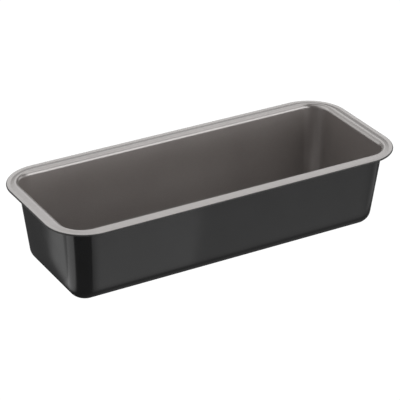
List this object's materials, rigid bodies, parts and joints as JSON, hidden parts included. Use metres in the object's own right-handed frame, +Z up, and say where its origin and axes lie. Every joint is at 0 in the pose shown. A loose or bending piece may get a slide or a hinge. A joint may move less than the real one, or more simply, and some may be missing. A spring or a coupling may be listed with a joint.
{
  "type": "loaf pan",
  "caption": "Long deep-drawn steel loaf pan with leaning walls, rounded corners, a flat hemmed rim, a grey non-stick inside and a black enamelled outside.",
  "frame": {"origin": "middle of the base, on the surface the pan stands on", "axes": "+X along the pan's length, +Y across it, +Z up out of its mouth"},
  "size_m": [0.31, 0.1304, 0.0695],
  "materials": {
    "bare_steel": "cold-rolled sheet, seen only at the hem's cut edge",
    "grey_nonstick": "satin pewter-grey non-stick coat with a fine metallic grain",
    "black_enamel": "glossy black baked enamel with a slight orange peel"
  },
  "bodies": {
    "root": {"steel_shell": "bare_steel", "nonstick_lining": "grey_nonstick", "exterior_enamel": "black_enamel"}
  },
  "joints": []
}
